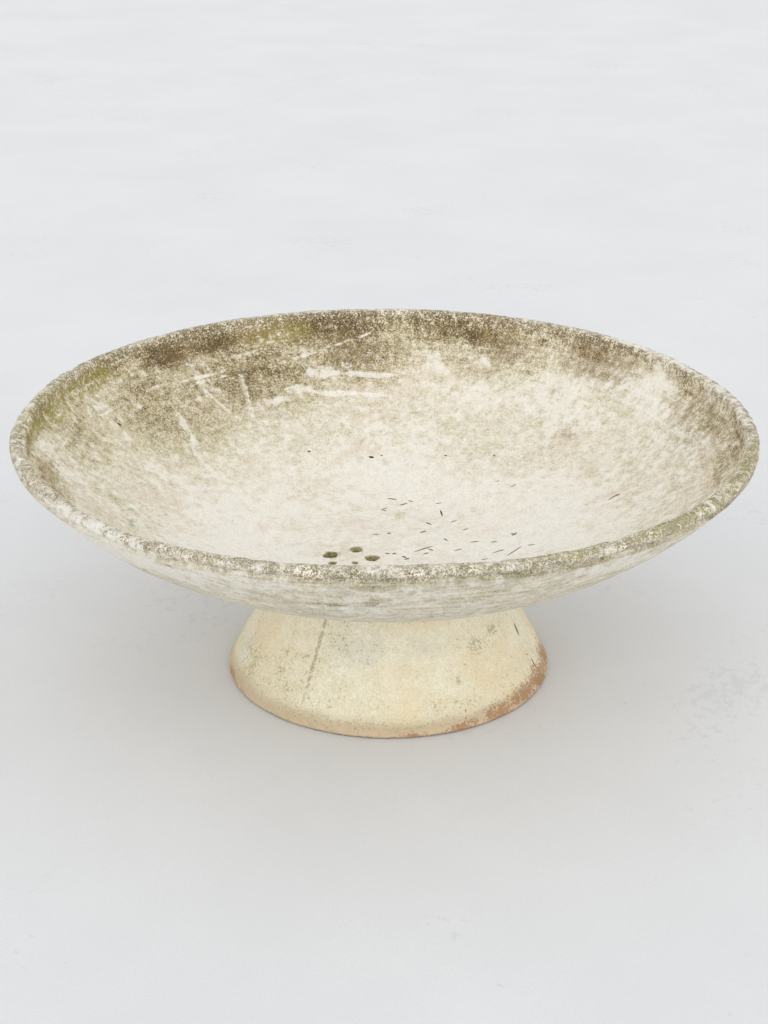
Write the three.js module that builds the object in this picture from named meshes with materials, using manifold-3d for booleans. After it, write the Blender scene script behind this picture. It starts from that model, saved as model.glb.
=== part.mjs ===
// A large garden bowl planter in two loose castings of fibre cement: a wide shallow bowl with a
// rolled rim and drilled drain holes, standing on a hollow conical pedestal.
//
// Millimetres, +Z up. The origin is the centre of the pedestal's foot, on the ground.

import * as THREE from "three";
import { mergeVertices } from "three/addons/utils/BufferGeometryUtils.js";
import Module from "manifold-3d";

// Bowl
const BOWL_RADIUS = 600; // to the outside of the rim
const BOWL_HEIGHT = 247; // standing face to the top of the rim
const BOWL_WALL = 14;
const STANDING_FACE_RADIUS = 172; // the flat underside that sits on the pedestal
const WALL_START_ANGLE = 9; // degrees above level, where the wall leaves the standing face
const SHOULDER_INSET = 170; // the wall turns up more steeply here, measured in from the rim
const SHOULDER_DROP = 158; // and this far below the top of the rim
const WALL_EDGE_INSET = 3; // the top edge of the outer wall stands this far in from the rim

// Rolled rim, and the groove scored between it and the outer wall
const RIM_WIDTH = 24;
const RIM_DEPTH = 17;
const GROOVE_WIDTH = 5.5;
const GROOVE_DEPTH = 5;
const RIM_STARTS_AT = -70; // degrees round the rolled rim's section, from its outermost point
const RIM_ENDS_AT = 225; // where the inner wall runs into it

// Drain holes, drilled straight down by hand, so they sit off centre and differ in size
const DRAIN_HOLES = [
  { x: -88, y: -32, radius: 11.5 },
  { x: -46, y: -11, radius: 10 },
  { x: -20, y: -46, radius: 10.5 },
  { x: -85, y: -64, radius: 6 },
  { x: -48, y: -64, radius: 5 },
];
const DRILL_OVERRUN = 5; // the drill passes this far beyond each face

// Pedestal
const PEDESTAL_HEIGHT = 197;
const FOOT_RADIUS = 280;
const PEDESTAL_WALL = 16;
const TOP_PLATE = 16; // thickness of the ring that the bowl stands on
const SEAT_OVERHANG = 9; // the bowl's standing face reaches this far past the pedestal's top edge
const DRAIN_MARGIN = 14; // the top ring's opening clears the farthest drain hole by this
const FOOT_ROUND = 5;
const TOP_EDGE_ROUND = 3;

// Facets
const AROUND = 72;
const WALL_STEPS = 7; // in each of the two curves of the bowl's wall
const RIM_STEPS = 12;
const EDGE_STEPS = 3;
const HOLE_SIDES = 20;

const pedestalTopRadius = STANDING_FACE_RADIUS - SEAT_OVERHANG;
const drainReach = Math.max(...DRAIN_HOLES.map(({ x, y, radius }) => Math.hypot(x, y) + radius));
const topOpeningRadius = drainReach + DRAIN_MARGIN;

const toRadians = THREE.MathUtils.degToRad;

// Points on the circular arc that leaves `start` at `startAngle` and ends at `end`, each with the
// arc's own direction there.
function arcThrough(start, startAngle, end, steps) {
  const chord = end.clone().sub(start);
  const turn = 2 * (chord.angle() - startAngle);
  const points = [];
  for (let step = 0; step <= steps; step++) {
    const share = step / steps;
    const length = (chord.length() * Math.sin((turn * share) / 2)) / Math.sin(turn / 2);
    const direction = startAngle + (turn * share) / 2;
    const point = new THREE.Vector2(length, 0).rotateAround(new THREE.Vector2(), direction);
    points.push({ point: point.add(start), angle: startAngle + turn * share });
  }
  return points;
}

// The outer wall: two arcs, the second going on in the direction that the first ends with.
function outerWall() {
  const faceEdge = new THREE.Vector2(STANDING_FACE_RADIUS, 0);
  const shoulder = new THREE.Vector2(BOWL_RADIUS - SHOULDER_INSET, BOWL_HEIGHT - SHOULDER_DROP);
  const wallEdge = new THREE.Vector2(
    BOWL_RADIUS - WALL_EDGE_INSET,
    BOWL_HEIGHT - RIM_DEPTH - GROOVE_WIDTH,
  );
  const lower = arcThrough(faceEdge, toRadians(WALL_START_ANGLE), shoulder, WALL_STEPS);
  const upper = arcThrough(shoulder, lower.at(-1).angle, wallEdge, WALL_STEPS);
  return [...lower, ...upper.slice(1)];
}

// The rolled rim's oval section.
function rolledRim() {
  const across = RIM_WIDTH / 2;
  const down = RIM_DEPTH / 2;
  const points = [];
  for (let step = 0; step <= RIM_STEPS; step++) {
    const angle = toRadians(THREE.MathUtils.lerp(RIM_STARTS_AT, RIM_ENDS_AT, step / RIM_STEPS));
    points.push(
      new THREE.Vector2(
        BOWL_RADIUS - across + across * Math.cos(angle),
        BOWL_HEIGHT - down + down * Math.sin(angle),
      ),
    );
  }
  return points;
}

// The bowl's section, from the axis out along the underside, over the rim and back inside.
function bowlSection() {
  const wall = outerWall();
  const grooveFloor = new THREE.Vector2(
    BOWL_RADIUS - WALL_EDGE_INSET - GROOVE_DEPTH,
    BOWL_HEIGHT - RIM_DEPTH - GROOVE_WIDTH / 2,
  );

  // The inside follows the outside at the wall's thickness, up to the rim.
  const inside = wall
    .slice(1, -1)
    .map(({ point, angle }) => {
      const inward = new THREE.Vector2(-Math.sin(angle), Math.cos(angle));
      return point.clone().addScaledVector(inward, BOWL_WALL);
    })
    .reverse();
  const floorRadius = STANDING_FACE_RADIUS - BOWL_WALL * Math.tan(toRadians(WALL_START_ANGLE) / 2);

  return [
    new THREE.Vector2(0, 0),
    ...wall.map(({ point }) => point),
    grooveFloor,
    ...rolledRim(),
    ...inside,
    new THREE.Vector2(floorRadius, BOWL_WALL),
    new THREE.Vector2(0, BOWL_WALL),
  ];
}

// Points of a rounded corner between two straight edges of a section.
function roundedCorner(before, corner, after, radius) {
  const towardsBefore = before.clone().sub(corner).normalize();
  const towardsAfter = after.clone().sub(corner).normalize();
  const halfAngle = Math.acos(towardsBefore.dot(towardsAfter)) / 2;
  const reach = radius / Math.tan(halfAngle);
  const middle = towardsBefore.clone().add(towardsAfter).normalize();
  const centre = corner.clone().addScaledVector(middle, radius / Math.sin(halfAngle));
  const first = corner.clone().addScaledVector(towardsBefore, reach).sub(centre);
  const last = corner.clone().addScaledVector(towardsAfter, reach).sub(centre);
  const sweep = Math.atan2(first.cross(last), first.dot(last));
  const points = [];
  for (let step = 0; step <= EDGE_STEPS; step++) {
    const spoke = first.clone().rotateAround(new THREE.Vector2(), (sweep * step) / EDGE_STEPS);
    points.push(spoke.add(centre));
  }
  return points;
}

// The pedestal's section: foot, cone, top ring, its opening, and the hollow inside.
function pedestalSection() {
  const coneLean = (FOOT_RADIUS - pedestalTopRadius) / PEDESTAL_HEIGHT;
  const wallAcross = PEDESTAL_WALL * Math.hypot(1, coneLean);
  const underPlate = PEDESTAL_HEIGHT - TOP_PLATE;
  const foot = new THREE.Vector2(FOOT_RADIUS, 0);
  const topEdge = new THREE.Vector2(pedestalTopRadius, PEDESTAL_HEIGHT);
  const opening = new THREE.Vector2(topOpeningRadius, PEDESTAL_HEIGHT);
  const footInside = new THREE.Vector2(FOOT_RADIUS - wallAcross, 0);
  return [
    footInside,
    ...roundedCorner(footInside, foot, topEdge, FOOT_ROUND),
    ...roundedCorner(foot, topEdge, opening, TOP_EDGE_ROUND),
    opening,
    new THREE.Vector2(topOpeningRadius, underPlate),
    new THREE.Vector2(footInside.x - coneLean * underPlate, underPlate),
    footInside.clone(),
  ];
}

// A section turned about the Z axis.
function turned(section) {
  return new THREE.LatheGeometry(section, AROUND).rotateX(Math.PI / 2);
}

const wasm = await Module();
wasm.setup();

function toSolid(geometry) {
  const bare = geometry.clone();
  bare.deleteAttribute("normal");
  bare.deleteAttribute("uv");
  const merged = mergeVertices(bare);
  return new wasm.Manifold(
    new wasm.Mesh({
      numProp: 3,
      vertProperties: merged.attributes.position.array,
      triVerts: new Uint32Array(merged.index.array),
    }),
  );
}

function toGeometry(solid) {
  const mesh = solid.getMesh();
  const geometry = new THREE.BufferGeometry();
  geometry.setAttribute("position", new THREE.BufferAttribute(mesh.vertProperties, 3));
  geometry.setIndex(new THREE.BufferAttribute(mesh.triVerts, 1));
  geometry.computeVertexNormals();
  return geometry;
}

// The space that a drill leaves, through the bowl's floor and a little beyond each face.
function drillPath({ x, y, radius }) {
  const length = BOWL_WALL + 2 * DRILL_OVERRUN;
  return new THREE.CylinderGeometry(radius, radius, length, HOLE_SIDES)
    .rotateX(Math.PI / 2)
    .translate(x, y, BOWL_WALL / 2);
}

function bowlGeometry() {
  let solid = toSolid(turned(bowlSection()));
  for (const hole of DRAIN_HOLES) {
    solid = solid.subtract(toSolid(drillPath(hole)));
  }
  return toGeometry(solid);
}

const weatheredCement = new THREE.MeshStandardMaterial({
  color: 0xd9d2bd,
  roughness: 0.93,
  metalness: 0,
});
const creamCement = new THREE.MeshStandardMaterial({
  color: 0xe2d8b8,
  roughness: 0.88,
  metalness: 0,
});

const pedestal = new THREE.Mesh(turned(pedestalSection()), creamCement);
pedestal.name = "pedestal";

const bowl = new THREE.Mesh(bowlGeometry(), weatheredCement);
bowl.name = "bowl";
bowl.position.z = PEDESTAL_HEIGHT; // the standing face lies on the pedestal's top ring

const planter = new THREE.Group();
planter.add(pedestal, bowl);

export default planter;
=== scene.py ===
"""The looks of a weathered cement bowl planter: a wide bowl with a rolled rim and drilled drain
holes, standing loose on a hollow conical pedestal.

Metres and +Z up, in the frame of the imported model. A bearing is in degrees round the planter's
axis: on the inside of the bowl it is measured from the far wall, and on any outside from the
front, and + is to the right in both. Depth is measured along a wall: down from the rim's crest on
the bowl, and up from the foot on the pedestal.
"""

import logging
import math
from dataclasses import dataclass
from enum import Enum
from typing import ClassVar

import bmesh
import bpy
import numpy as np
from mathutils import Matrix, Vector, noise


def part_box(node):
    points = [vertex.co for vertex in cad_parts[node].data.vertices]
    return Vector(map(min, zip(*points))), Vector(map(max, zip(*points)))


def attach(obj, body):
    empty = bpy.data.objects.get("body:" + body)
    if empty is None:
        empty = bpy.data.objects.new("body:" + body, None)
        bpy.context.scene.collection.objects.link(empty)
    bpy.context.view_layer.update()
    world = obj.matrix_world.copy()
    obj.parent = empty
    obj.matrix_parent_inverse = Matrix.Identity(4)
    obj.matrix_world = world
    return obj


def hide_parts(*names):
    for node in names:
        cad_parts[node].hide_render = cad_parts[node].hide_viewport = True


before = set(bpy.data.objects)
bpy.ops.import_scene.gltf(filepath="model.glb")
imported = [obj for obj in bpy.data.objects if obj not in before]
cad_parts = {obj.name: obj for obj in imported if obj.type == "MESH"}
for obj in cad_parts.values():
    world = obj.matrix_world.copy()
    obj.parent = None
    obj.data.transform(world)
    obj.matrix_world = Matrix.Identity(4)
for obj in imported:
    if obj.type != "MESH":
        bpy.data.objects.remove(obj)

log = logging.getLogger("planter")

RIM_REACH = 0.03  # half the rolled rim's girth, over which a mark on one side may run
WALL_REACH = 0.5  # the radius at which grain stretched round a wall is as long as it says
CRISP = math.radians(50)  # an edge that turns by more than this isn't smoothed

Colour = tuple[float, float, float, float]
Stops = tuple[tuple[float, Colour], ...]
Faces = list[tuple[int, ...]]
Socket = bpy.types.NodeSocket


def tone(*levels: int) -> Colour:
    """Turns a colour as the eye reads it into the linear light that shaders use.

    Args:
        levels: its red, green and blue, from 0 to 255.

    Returns:
        Red, green, blue and alpha from 0 to 1.
    """
    shares = [level / 255 for level in levels]
    bent = [((share + 0.055) / 1.055) ** 2.4 for share in shares]
    dim = [share / 12.92 for share in shares]
    return (*(d if s <= 0.04045 else b for s, d, b in zip(shares, dim, bent)), 1.0)


class Side(Enum):
    """Which face of a turned wall a mark is on."""

    INSIDE = 1
    OUTSIDE = -1

    def compass(self, bearing: float) -> float:
        """The bearing as an angle clockwise from +Y, in radians."""
        return math.radians(bearing if self is Side.INSIDE else 180 - bearing)


class Layer(Enum):
    """What a piece's mesh carries at its vertices for its finish to read."""

    FROM_RIM = "from_rim"
    UP_WALL = "up_wall"
    BORE = "bore"
    SOIL = "soil"
    CHALK = "chalk"
    MOSS = "moss"
    UMBER = "umber"
    OCHRE = "ochre"
    GREY = "grey"
    RUST = "rust"


@dataclass(frozen=True)
class Mark:
    """A patch on a turned wall.

    Attributes:
        bearing: degrees round the axis.
        depth: metres along the wall.
        along, down: half the patch's length round the wall, and half its length down it.
        strength: 1 for a full patch.
    """

    bearing: float
    depth: float
    along: float
    down: float
    strength: float = 1.0


@dataclass(frozen=True)
class Line:
    """A thin straight mark from one place on a wall to another.

    Attributes:
        start, end: bearing in degrees and depth in metres of each end.
        width: metres across.
        strength: 1 for a mark that covers what is under it.
    """

    start: tuple[float, float]
    end: tuple[float, float]
    width: float
    strength: float = 1.0


Marks = dict[Layer, list[Mark]]


def placed(*rows: tuple[float, ...]) -> list[Mark]:
    """Marks from rows of bearing, depth, along and down in millimetres, and strength."""
    return [Mark(row[0], *(size / 1000 for size in row[1:4]), *row[4:]) for row in rows]


def drawn(*rows: tuple[float, ...]) -> list[Line]:
    """Lines from rows of bearing and depth at each end, width, and strength.

    Args:
        rows: the rows, with depths and widths in millimetres.

    Returns:
        The lines.
    """
    lines = []
    for bearing, depth, last_bearing, last_depth, width, *strength in rows:
        ends = (bearing, depth / 1000), (last_bearing, last_depth / 1000)
        lines.append(Line(*ends, width / 1000, *strength))
    return lines


@dataclass(frozen=True)
class Bulge:
    """Where a hand-made wall departs from a true circle.

    Attributes:
        bearing: degrees from the front.
        spread: degrees to each side over which it fades.
        lift, push: metres that the rim stands higher there, and further out.
    """

    bearing: float
    spread: float
    lift: float = 0.0
    push: float = 0.0


@dataclass(frozen=True)
class Relief:
    """Smooth random relief: metres across one bump, and metres that it rises or sinks."""

    size: float
    height: float

    def at(self, place: np.ndarray) -> np.ndarray:
        """Its height at each vertex."""
        bumps = (noise.fractal(Vector(point) / self.size, 1.0, 2.0, 2) for point in place)
        return self.height * np.array(list(bumps))


@dataclass(frozen=True)
class Chips:
    """Scattered round chips.

    Attributes:
        spacing: metres from one possible chip to the next.
        depth: metres deep in the middle.
        share: how many of them are there, from 0 to 1.
    """

    spacing: float
    depth: float
    share: float

    def at(self, place: np.ndarray) -> np.ndarray:
        """Their depth at each vertex."""
        depth = np.zeros(len(place))
        for row, point in enumerate(place):
            distances, centres = noise.voronoi(Vector(point) / self.spacing)
            if noise.cell(centres[0] * 7.3) * 0.5 + 0.5 < self.share:
                depth[row] = max(0.0, 1 - distances[0] / 0.55)
        return self.depth * depth


def smooth_step(value: np.ndarray, low: float, high: float) -> np.ndarray:
    """0 below `low`, 1 above `high` and a smooth rise between them."""
    share = np.clip((value - low) / (high - low), 0, 1)
    return share * share * (3 - 2 * share)


def worn(
    place: np.ndarray, share: np.ndarray, bumps: tuple[Relief, ...], chips: Chips
) -> np.ndarray:
    """What wear does to a surface.

    Args:
        place: one row for each vertex.
        share: how worn each vertex is, from 0 to 1.
        bumps, chips: what wear adds and takes away.

    Returns:
        Metres outward for each vertex.
    """
    offset = np.zeros(len(place))
    rows = np.flatnonzero(share > 0)
    offset[rows] = sum(relief.at(place[rows]) for relief in bumps) - chips.at(place[rows])
    return share * offset


class Section:
    """A turned piece's outline, drawn from one end to the other as it is filled in."""

    def __init__(self) -> None:
        """Starts an empty outline."""
        self.radius: list[float] = []
        self.height: list[float] = []
        self.around: list[int] = []

    def add(self, radius: float, height: float, around: int) -> None:
        """Adds a point, with the number of vertices in the ring that it makes."""
        self.radius.append(radius)
        self.height.append(height)
        self.around.append(around)

    def line(self, radius: float, height: float, steps: int, around: int) -> None:
        """Goes straight on to a point in equal steps, with rings of `around` vertices."""
        first_radius, first_height = self.radius[-1], self.height[-1]
        for step in range(1, steps + 1):
            share = step / steps
            self.add(
                first_radius + share * (radius - first_radius),
                first_height + share * (height - first_height),
                around,
            )

    def sweep(
        self, across: float, down: float, turn: tuple[float, float], steps: int, around: int
    ) -> None:
        """Goes on round part of an oval in equal steps.

        Args:
            across, down: half the oval's width and half its height.
            turn: the outward direction before and after it, in radians above level.
            steps: how many steps it takes.
            around: vertices in each ring.
        """
        start, end = turn
        centre_radius = self.radius[-1] - across * math.cos(start)
        centre_height = self.height[-1] - down * math.sin(start)
        for step in range(1, steps + 1):
            angle = start + (end - start) * step / steps
            height = centre_height + down * math.sin(angle)
            self.add(centre_radius + across * math.cos(angle), height, around)

    def points(self) -> np.ndarray:
        """The outline's points, one row of radius and height each."""
        return np.stack([self.radius, self.height], axis=1)

    def travel(self) -> np.ndarray:
        """The length along the outline at each point, from its start."""
        steps = np.hypot(*np.diff(self.points(), axis=0).T)
        return np.concatenate([[0.0], np.cumsum(steps)])

    def outward(self) -> np.ndarray:
        """The outward direction at each point, square to the outline."""
        along = np.gradient(self.points(), axis=0)
        along /= np.maximum(np.hypot(*along.T), 1e-9)[:, None]
        return np.stack([along[:, 1], -along[:, 0]], axis=1)


def join_rings(first: range, second: range) -> Faces:
    """Faces between two neighbouring rings of vertices.

    Args:
        first, second: the rings' vertices. One has as many as the other, or twice as many, or is
            a single vertex on the axis.

    Returns:
        The faces' vertices.
    """
    coarse, fine = sorted((first, second), key=len)
    count, faces = len(coarse), []
    if count == 1:
        return [(coarse[0], fine[j], fine[(j + 1) % len(fine)]) for j in range(len(fine))]
    for j in range(count):
        near, far = coarse[j], coarse[(j + 1) % count]
        if len(fine) == count:
            faces.append((near, far, fine[(j + 1) % count], fine[j]))
            continue
        left, middle, right = (fine[(2 * j + k) % len(fine)] for k in range(3))
        faces += [(near, left, middle), (near, middle, far), (far, middle, right)]
    return faces


class Skin:
    """A turned piece's surface as arrays, one row for each vertex."""

    def __init__(self, section: Section, datum: float, flow: int, closed: bool) -> None:
        """Turns a section about the Z axis.

        Args:
            section: the outline.
            datum: the length along the outline that depths are measured from.
            flow: 1 where the outline goes on from the datum down the inside, or -1 where it
                goes on up the outside.
            closed: whether the outline's last point joins its first.
        """
        self.section, self.datum, self.flow = section, datum, flow
        around = np.array(section.around)
        ends = np.cumsum(around)
        ring = np.repeat(np.arange(len(around)), around)
        self.compass = (np.arange(ends[-1]) - (ends - around)[ring]) * 2 * math.pi / around[ring]
        self.depth = ((section.travel() - datum) * flow)[ring]
        sine, cosine = np.sin(self.compass), np.cos(self.compass)
        (radius, height), (out, up) = section.points()[ring].T, section.outward()[ring].T
        self.place = np.stack([radius * sine, radius * cosine, height], 1)
        self.normal = np.stack([out * sine, out * cosine, up], 1)
        rings = [range(end - count, end) for end, count in zip(ends.tolist(), section.around)]
        pairs = list(zip(rings, rings[1:])) + ([(rings[-1], rings[0])] if closed else [])
        self.faces = [face for pair in pairs for face in join_rings(*pair)]

    def spot(self, side: Side, bearing: float, depth: float) -> Matrix:
        """A place on the turned wall.

        Args:
            side: the face of the wall.
            bearing: degrees round it.
            depth: metres from the datum, always +.

        Returns:
            A matrix with the place, and with X along the wall to the right, Y down it and Z out.
        """
        travel = self.section.travel()
        where = self.datum + side.value * self.flow * depth
        radius, height = (np.interp(where, travel, column) for column in self.section.points().T)
        out, up = (np.interp(where, travel, column) for column in self.section.outward().T)
        turn = side.compass(bearing)
        ahead = Vector((math.sin(turn), math.cos(turn), 0))
        right = Vector((math.cos(turn), -math.sin(turn), 0)) * side.value
        outward = (ahead * out + Vector((0, 0, up))).normalized()
        matrix = Matrix((right, outward.cross(right), outward)).transposed().to_4x4()
        matrix.translation = ahead * radius + Vector((0, 0, height))
        return matrix

    def patches(self, side: Side, marks: list[Mark]) -> np.ndarray:
        """How strongly a set of marks covers each vertex.

        Args:
            side: the face that they are on.
            marks: the marks.

        Returns:
            A mark's strength in its middle, half of that at its edge and 0 far from it.
        """
        cover = np.zeros(len(self.place))
        depth = side.value * self.depth
        for mark in marks:
            spot = self.spot(side, mark.bearing, mark.depth).translation
            away = (self.compass - side.compass(mark.bearing) + math.pi) % (2 * math.pi) - math.pi
            along = side.value * away * math.hypot(spot.x, spot.y)
            reach = (along / mark.along) ** 2 + ((depth - mark.depth) / mark.down) ** 2
            patch = mark.strength * np.exp(-math.log(2) * reach)
            cover = np.maximum(cover, (depth > -RIM_REACH) * patch)
        return cover

    def layers(self, marks: dict[Side, Marks]) -> dict[Layer, np.ndarray]:
        """The marks' cover at each vertex, by layer."""
        cover = {layer: np.zeros(len(self.place)) for layer in Layer}
        for side, tables in marks.items():
            for layer, table in tables.items():
                cover[layer] = np.maximum(cover[layer], self.patches(side, table))
        return cover


def new_piece(
    name: str, place: np.ndarray, faces: Faces, layers: dict[Layer, np.ndarray]
) -> bpy.types.Object:
    """Makes a smooth-shaded mesh object.

    Args:
        name: the piece's name.
        place: one row for each vertex.
        faces: the faces' vertices.
        layers: what the mesh carries at its vertices.

    Returns:
        The object, in the scene.
    """
    mesh = bpy.data.meshes.new(name)
    mesh.from_pydata(place.tolist(), [], faces)
    sheet = bmesh.new()
    sheet.from_mesh(mesh)
    bmesh.ops.recalc_face_normals(sheet, faces=sheet.faces)
    sheet.to_mesh(mesh)
    sheet.free()
    mesh.shade_smooth()
    for layer, values in layers.items():
        attribute = mesh.attributes.new(layer.value, "FLOAT", "POINT")
        attribute.data.foreach_set("value", values.astype(np.float32))
    piece = bpy.data.objects.new(name, mesh)
    bpy.context.scene.collection.objects.link(piece)
    return piece


class Recipe:
    """A shader's nodes, written as a list of layers. Lengths are in metres on the piece."""

    def __init__(self, block: bpy.types.Material | bpy.types.World) -> None:
        """Starts the nodes of a material, or of the sky."""
        block.use_nodes = True
        self.block = block
        self.tree = block.node_tree
        self.tree.nodes.clear()
        self.place = self.add("TexCoord").outputs["Object"]

    def add(
        self, kind: str, inputs: dict[int | str, object] | None = None, **settings: object
    ) -> bpy.types.Node:
        """Adds a node with these settings, its inputs linked or set."""
        node = self.tree.nodes.new("ShaderNode" + kind)
        for name, value in settings.items():
            setattr(node, name, value)
        for name, value in (inputs or {}).items():
            if isinstance(value, Socket):
                self.tree.links.new(value, node.inputs[name])
            else:
                node.inputs[name].default_value = value
        return node

    def math(self, operation: str, *values: object) -> Socket:
        """The result of a Math node."""
        return self.add("Math", dict(enumerate(values)), operation=operation).outputs[0]

    def vector(self, operation: str, *values: object) -> Socket:
        """The result of a Vector Math node."""
        node = self.add("VectorMath", dict(enumerate(values)), operation=operation)
        return node.outputs["Value" if operation == "LENGTH" else "Vector"]

    def times(self, first: object, second: object, *more: object) -> Socket:
        """Two values multiplied, with a third added to that if there is one."""
        return self.math("MULTIPLY_ADD" if more else "MULTIPLY", first, second, *more)

    def most(self, first: object, second: object) -> Socket:
        """The greater of two values."""
        return self.math("MAXIMUM", first, second)

    def total(self, *parts: tuple[object, float], centre: float = 0.5) -> Socket:
        """A sum of values, each less `centre` and times its own weight."""
        result = 0.0
        for value, weight in parts:
            value = self.math("SUBTRACT", value, centre) if centre else value
            result = self.times(value, weight, result)
        return result

    def read(self, layer: Layer) -> Socket:
        """What the mesh carries at its vertices under that name."""
        return self.add("Attribute", attribute_name=layer.value).outputs["Fac"]

    def fade(self, value: object, low: float, high: float, full: float = 1.0) -> Socket:
        """A smooth change from 0 where the value is `low` to `full` where it is `high`."""
        ends = {"From Min": min(low, high), "From Max": max(low, high)}
        ends |= {"To Min": full if low > high else 0.0, "To Max": 0.0 if low > high else full}
        node = self.add("MapRange", {"Value": value, **ends}, interpolation_type="SMOOTHSTEP")
        return node.outputs["Result"]

    def grain(self, size: float, detail: float, rough: float, place: object = None) -> Socket:
        """Noise.

        Args:
            size: metres across its largest bumps.
            detail: how many finer layers it has.
            rough: how strong the finer layers are.
            place: the coordinates, if not the piece's own.

        Returns:
            A value from 0 to 1, one half on average.
        """
        scale = {"Vector": place or self.place, "Scale": 1 / size}
        return self.add("TexNoise", {**scale, "Detail": detail, "Roughness": rough}).outputs["Fac"]

    def specks(self, spacing: float, radius: float, share: float) -> Socket:
        """Scattered round specks.

        Args:
            spacing: metres from one possible speck to the next.
            radius: a speck's radius in metres.
            share: how many of them are there, from 0 to 1.

        Returns:
            1 on a speck and 0 off it.
        """
        node = self.add("TexVoronoi", {"Vector": self.place, "Scale": 1 / spacing})
        near = self.fade(node.outputs["Distance"], 1.3 * radius / spacing, 0.6 * radius / spacing)
        channels = self.add("SeparateColor", {0: node.outputs["Color"]})
        return self.times(near, self.math("LESS_THAN", channels.outputs[0], share))

    def on_wall(self, depth: object, along: float, down: float) -> Socket:
        """Coordinates for grain that is stretched round a turned wall or down it.

        Args:
            depth: metres down the wall.
            along: under 1 to stretch the grain round the wall.
            down: under 1 to stretch it down the wall.

        Returns:
            The coordinates.
        """
        ring = self.vector("NORMALIZE", self.vector("MULTIPLY", self.place, (1.0, 1.0, 0.0)))
        below = self.add("CombineXYZ", {2: self.times(depth, down)}).outputs[0]
        return self.vector("MULTIPLY_ADD", ring, (WALL_REACH * along,) * 3, below)

    def ramp(self, value: object, stops: Stops) -> Socket:
        """The colour for a value, from a list of values and colours."""
        node = self.add("ValToRGB", {0: value})
        elements = node.color_ramp.elements
        while len(elements) < len(stops):
            elements.new(1.0)
        for element, (position, colour) in zip(elements, stops):
            element.position = position
            element.color = colour
        return node.outputs["Color"]

    def coat(self, under: object, over: object, share: object, cover: float = 1.0) -> Socket:
        """Lays a colour over another by a share from 0 to 1, times how well it covers."""
        share = share if cover == 1.0 else self.times(share, cover)
        node = self.add("Mix", {"Factor": share, 6: under, 7: over}, data_type="RGBA")
        return node.outputs[2]

    def lines(self, skin: Skin, side: Side, marks: list[Line], wander: float) -> Socket:
        """Thin marks drawn straight on the piece.

        Args:
            skin: the wall that they are on.
            side: the face of it.
            marks: the marks.
            wander: metres that their edges stray.

        Returns:
            Each place's cover by the strongest of them, from 0 to 1.
        """
        stray = self.add("TexNoise", {"Vector": self.place, "Scale": 60.0, "Detail": 3.0})
        stray = self.vector("SUBTRACT", stray.outputs["Color"], (0.5, 0.5, 0.5))
        place = self.vector("MULTIPLY_ADD", stray, (wander, wander, wander), self.place)
        cover = 0.0
        for mark in marks:
            first, last = (skin.spot(side, *end) for end in (mark.start, mark.end))
            run = last.translation - first.translation
            outward = (first.col[2] + last.col[2]).to_3d().normalized()
            across = outward.cross(run).normalized()
            outward = run.normalized().cross(across)
            turn = Matrix((run.normalized(), across, outward)).transposed()
            box = {
                "Vector": place,
                "Location": (first.translation + last.translation) / 2,
                "Rotation": turn.to_euler(),
                "Scale": (run.length / 2 + mark.width / 2, mark.width / 2, 0.01),
            }
            inside = self.add("Mapping", box, vector_type="TEXTURE").outputs[0]
            distance = self.vector("LENGTH", inside)
            cover = self.most(self.fade(distance, 1.25, 0.7, mark.strength), cover)
        return cover

    def finish(self, colour: object, rough: object, height: object) -> bpy.types.Material:
        """Ends the material.

        Args:
            colour: its colour.
            rough: its roughness.
            height: its fine relief in metres.

        Returns:
            The material.
        """
        bump = self.add("Bump", {"Strength": 1.0, "Distance": 1.0, "Height": height})
        surface = {"Base Color": colour, "Roughness": rough, "Specular IOR Level": 0.3}
        shader = self.add("BsdfPrincipled", {**surface, "Normal": bump.outputs["Normal"]})
        self.add("OutputMaterial", {"Surface": shader.outputs["BSDF"]})
        return self.block


class CementRecipe(Recipe):
    """A cement's nodes, with the noise that breaks its layers up, 0 to 1 each."""

    def __init__(self, name: str, *noises: tuple[float, float, float]) -> None:
        """Starts a material.

        Args:
            name: the material's name.
            noises: the size, detail and roughness of four noises, from coarse to fine.
        """
        super().__init__(bpy.data.materials.new(name))
        self.cloud, self.mottle, self.crumb, self.grit = (self.grain(*row) for row in noises)
        # on the bowl the soil layer also carries painted shade in the groove under the rim
        self.soil = self.read(Layer.SOIL)

    def ragged(self, cover: object, level: float, soft: float) -> Socket:
        """A set of marks with edges broken up by the noise.

        Args:
            cover: the marks' cover.
            level: the cover at which their edge lies.
            soft: how far to each side of that they fade.

        Returns:
            1 inside them and 0 outside.
        """
        broken = self.total((self.mottle, 2.6), (self.crumb, 2.0), (self.grit, 1.6))
        broken = self.math("ADD", broken, 1.0)
        return self.fade(self.times(cover, broken), level - soft, level + soft)


@dataclass(frozen=True)
class Zones:
    """Where on the bowl each place is.

    Attributes:
        from_rim: metres down the inside from the rim's crest, less than 0 on the outside.
        on_rim, outside: 1 on the rolled rim, and 1 on the outside.
    """

    from_rim: Socket
    on_rim: Socket
    outside: Socket


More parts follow.
